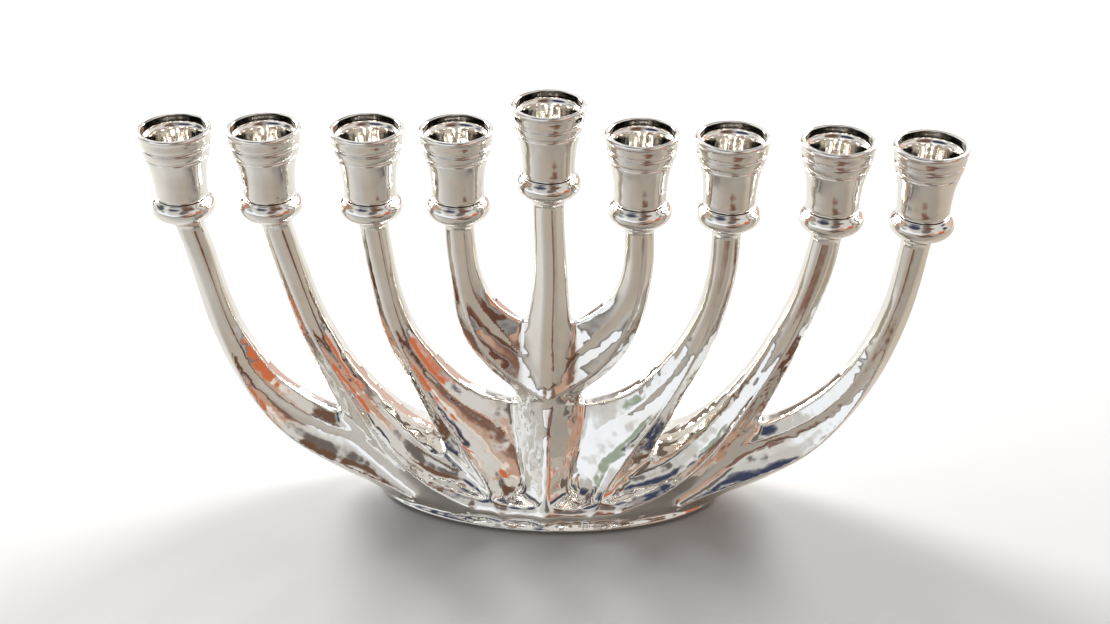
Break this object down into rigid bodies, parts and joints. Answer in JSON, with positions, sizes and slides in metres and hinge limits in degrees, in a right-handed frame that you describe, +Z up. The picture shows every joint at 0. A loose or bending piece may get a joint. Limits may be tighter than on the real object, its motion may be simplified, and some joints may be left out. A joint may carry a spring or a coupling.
{
  "type": "menorah",
  "caption": "Free-standing branched candle holder for a festival: silver-plated cast body on an oval foot, a row of turned cups on curved branches, middle cup raised.",
  "frame": {"origin": "centre of the footprint, at the underside of the felt pad, on the surface that the menorah stands on", "axes": "+Z up, +X along the row of cups, front towards -Y"},
  "size_m": [0.296, 0.067, 0.1652],
  "materials": {
    "cast_silver": "nickel-silver plate over cast aluminium, polished to a mirror",
    "turned_silver": "nickel-silver plate over turned aluminium, polished, fine lathe lines",
    "collar_silver": "nickel-silver plate over turned aluminium, polished to a mirror",
    "screw_steel": "bright zinc-plated steel",
    "plate_steel": "dull rolled steel sheet",
    "felt": "black pressed wool felt"
  },
  "bodies": {
    "root": {"body_casting": "cast_silver", "candle_cup_left_4": "turned_silver", "candle_cup_left_3": "turned_silver", "candle_cup_left_2": "turned_silver", "candle_cup_left_1": "turned_silver", "candle_cup_centre": "turned_silver", "candle_cup_right_1": "turned_silver", "candle_cup_right_2": "turned_silver", "candle_cup_right_3": "turned_silver", "candle_cup_right_4": "turned_silver", "collar_ring_left_4": "collar_silver", "collar_ring_left_3": "collar_silver", "collar_ring_left_2": "collar_silver", "collar_ring_left_1": "collar_silver", "collar_ring_centre": "collar_silver", "collar_ring_right_1": "collar_silver", "collar_ring_right_2": "collar_silver", "collar_ring_right_3": "collar_silver", "collar_ring_right_4": "collar_silver", "cup_screw_left_4": "screw_steel", "cup_screw_left_3": "screw_steel", "cup_screw_left_2": "screw_steel", "cup_screw_left_1": "screw_steel", "cup_screw_centre": "screw_steel", "cup_screw_right_1": "screw_steel", "cup_screw_right_2": "screw_steel", "cup_screw_right_3": "screw_steel", "cup_screw_right_4": "screw_steel", "base_plate": "plate_steel", "felt_pad": "felt", "base_screw_1": "screw_steel", "base_screw_2": "screw_steel", "base_screw_3": "screw_steel", "base_screw_4": "screw_steel"}
  },
  "joints": []
}
